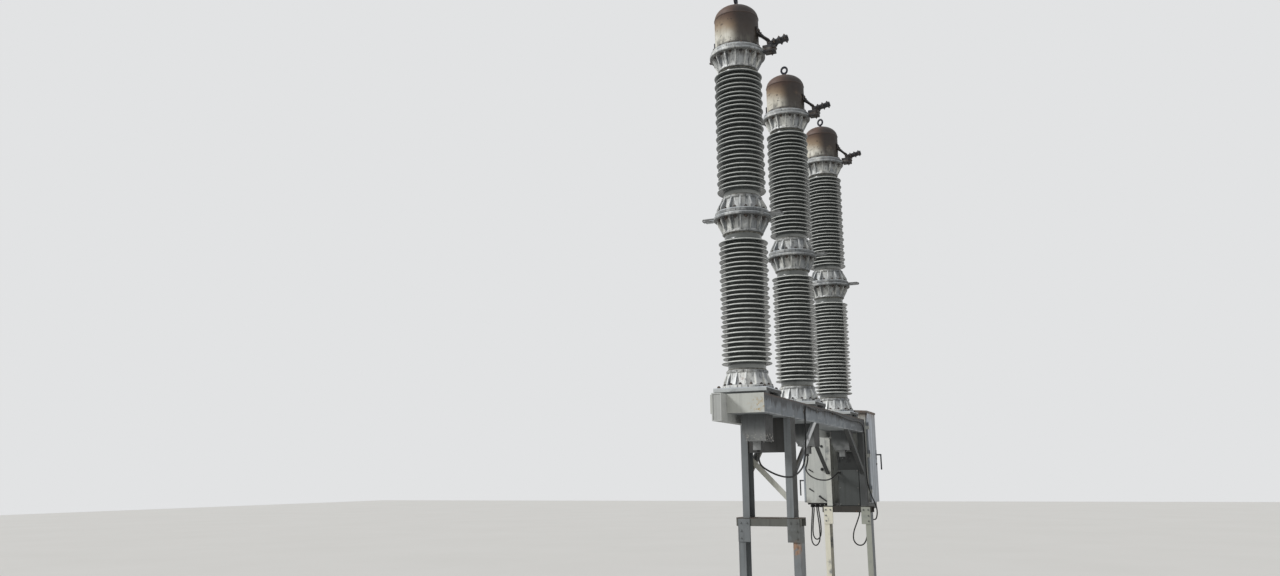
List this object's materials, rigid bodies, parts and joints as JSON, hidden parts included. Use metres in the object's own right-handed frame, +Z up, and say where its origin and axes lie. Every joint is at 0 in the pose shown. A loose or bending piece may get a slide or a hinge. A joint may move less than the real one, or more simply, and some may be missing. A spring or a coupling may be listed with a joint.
{
  "type": "substation circuit breaker",
  "caption": "Three-pole outdoor live-tank circuit breaker: porcelain poles with steel caps on a channel-steel frame and stand, with a drive cabinet whose doors open.",
  "frame": {"origin": "middle of the stand on the ground, between its four feet", "axes": "+X along the frame towards the drive cabinet, +Y across it to the side without line clamps, +Z up"},
  "size_m": [5.165, 1.1478, 6.155],
  "materials": {
    "stand_steel": "weathered grey paint, matt, with dirt and rust patches",
    "frame_paint": "weathered pale grey paint",
    "housing_paint": "dark grey paint, dirty",
    "casting": "rough casting with dark vertical streaks",
    "porcelain": "grey glaze, dusty",
    "cap_paint": "cream paint gone rust brown from the top",
    "terminal_metal": "dull and dirty",
    "cabinet_paint": "light grey paint, satin",
    "dark_paint": "dark grey paint, matt",
    "cable_sheath": "black sheath, matt"
  },
  "bodies": {
    "frame": {"near_legs": "stand_steel", "far_legs": "stand_steel", "near_crossbeam": "stand_steel", "far_crossbeam": "stand_steel", "near_posts": "stand_steel", "far_posts": "stand_steel", "shear_plate": "stand_steel", "cross_brace": "stand_steel", "near_knee_braces": "stand_steel", "far_knee_braces": "stand_steel", "left_beam": "frame_paint", "right_beam": "frame_paint", "near_end_plate": "frame_paint", "far_end_plate": "frame_paint", "frame_floor": "frame_paint", "linkage_duct": "frame_paint", "mount_plate_1": "casting", "mount_plate_2": "casting", "mount_plate_3": "casting", "housing_1": "housing_paint", "housing_2": "housing_paint", "housing_3": "housing_paint", "foot_flange_1": "casting", "foot_flange_2": "casting", "foot_flange_3": "casting", "lower_insulator_1": "porcelain", "lower_insulator_2": "porcelain", "lower_insulator_3": "porcelain", "middle_flange_1": "casting", "middle_flange_2": "casting", "middle_flange_3": "casting", "upper_insulator_1": "porcelain", "upper_insulator_2": "porcelain", "upper_insulator_3": "porcelain", "top_flange_1": "casting", "top_flange_2": "casting", "top_flange_3": "casting", "cap_1": "cap_paint", "cap_2": "cap_paint", "cap_3": "cap_paint", "line_clamp_1": "terminal_metal", "line_clamp_2": "terminal_metal", "line_clamp_3": "terminal_metal", "cabinet_body": "cabinet_paint", "cabinet_roof": "cabinet_paint", "cabinet_brackets": "stand_steel", "gland_plate": "dark_paint", "relay_box": "dark_paint", "pole_cable": "cable_sheath", "relay_cable": "cable_sheath", "link_cable": "cable_sheath", "spare_loop_1": "cable_sheath", "spare_loop_2": "cable_sheath", "cable_clips": "stand_steel"},
    "right_door": {"right_door": "cabinet_paint"},
    "left_door": {"left_door": "cabinet_paint"}
  },
  "joints": [
    {"name": "right_door_hinge", "type": "hinge", "parent": "frame", "child": "right_door", "pos_m": [1.827, -0.287, 1.822], "axis": [0, 0, -1], "range_deg": [0, 110]},
    {"name": "left_door_hinge", "type": "hinge", "parent": "frame", "child": "left_door", "pos_m": [2.363, 0.587, 1.822], "axis": [0, 0, -1], "range_deg": [0, 110]}
  ]
}
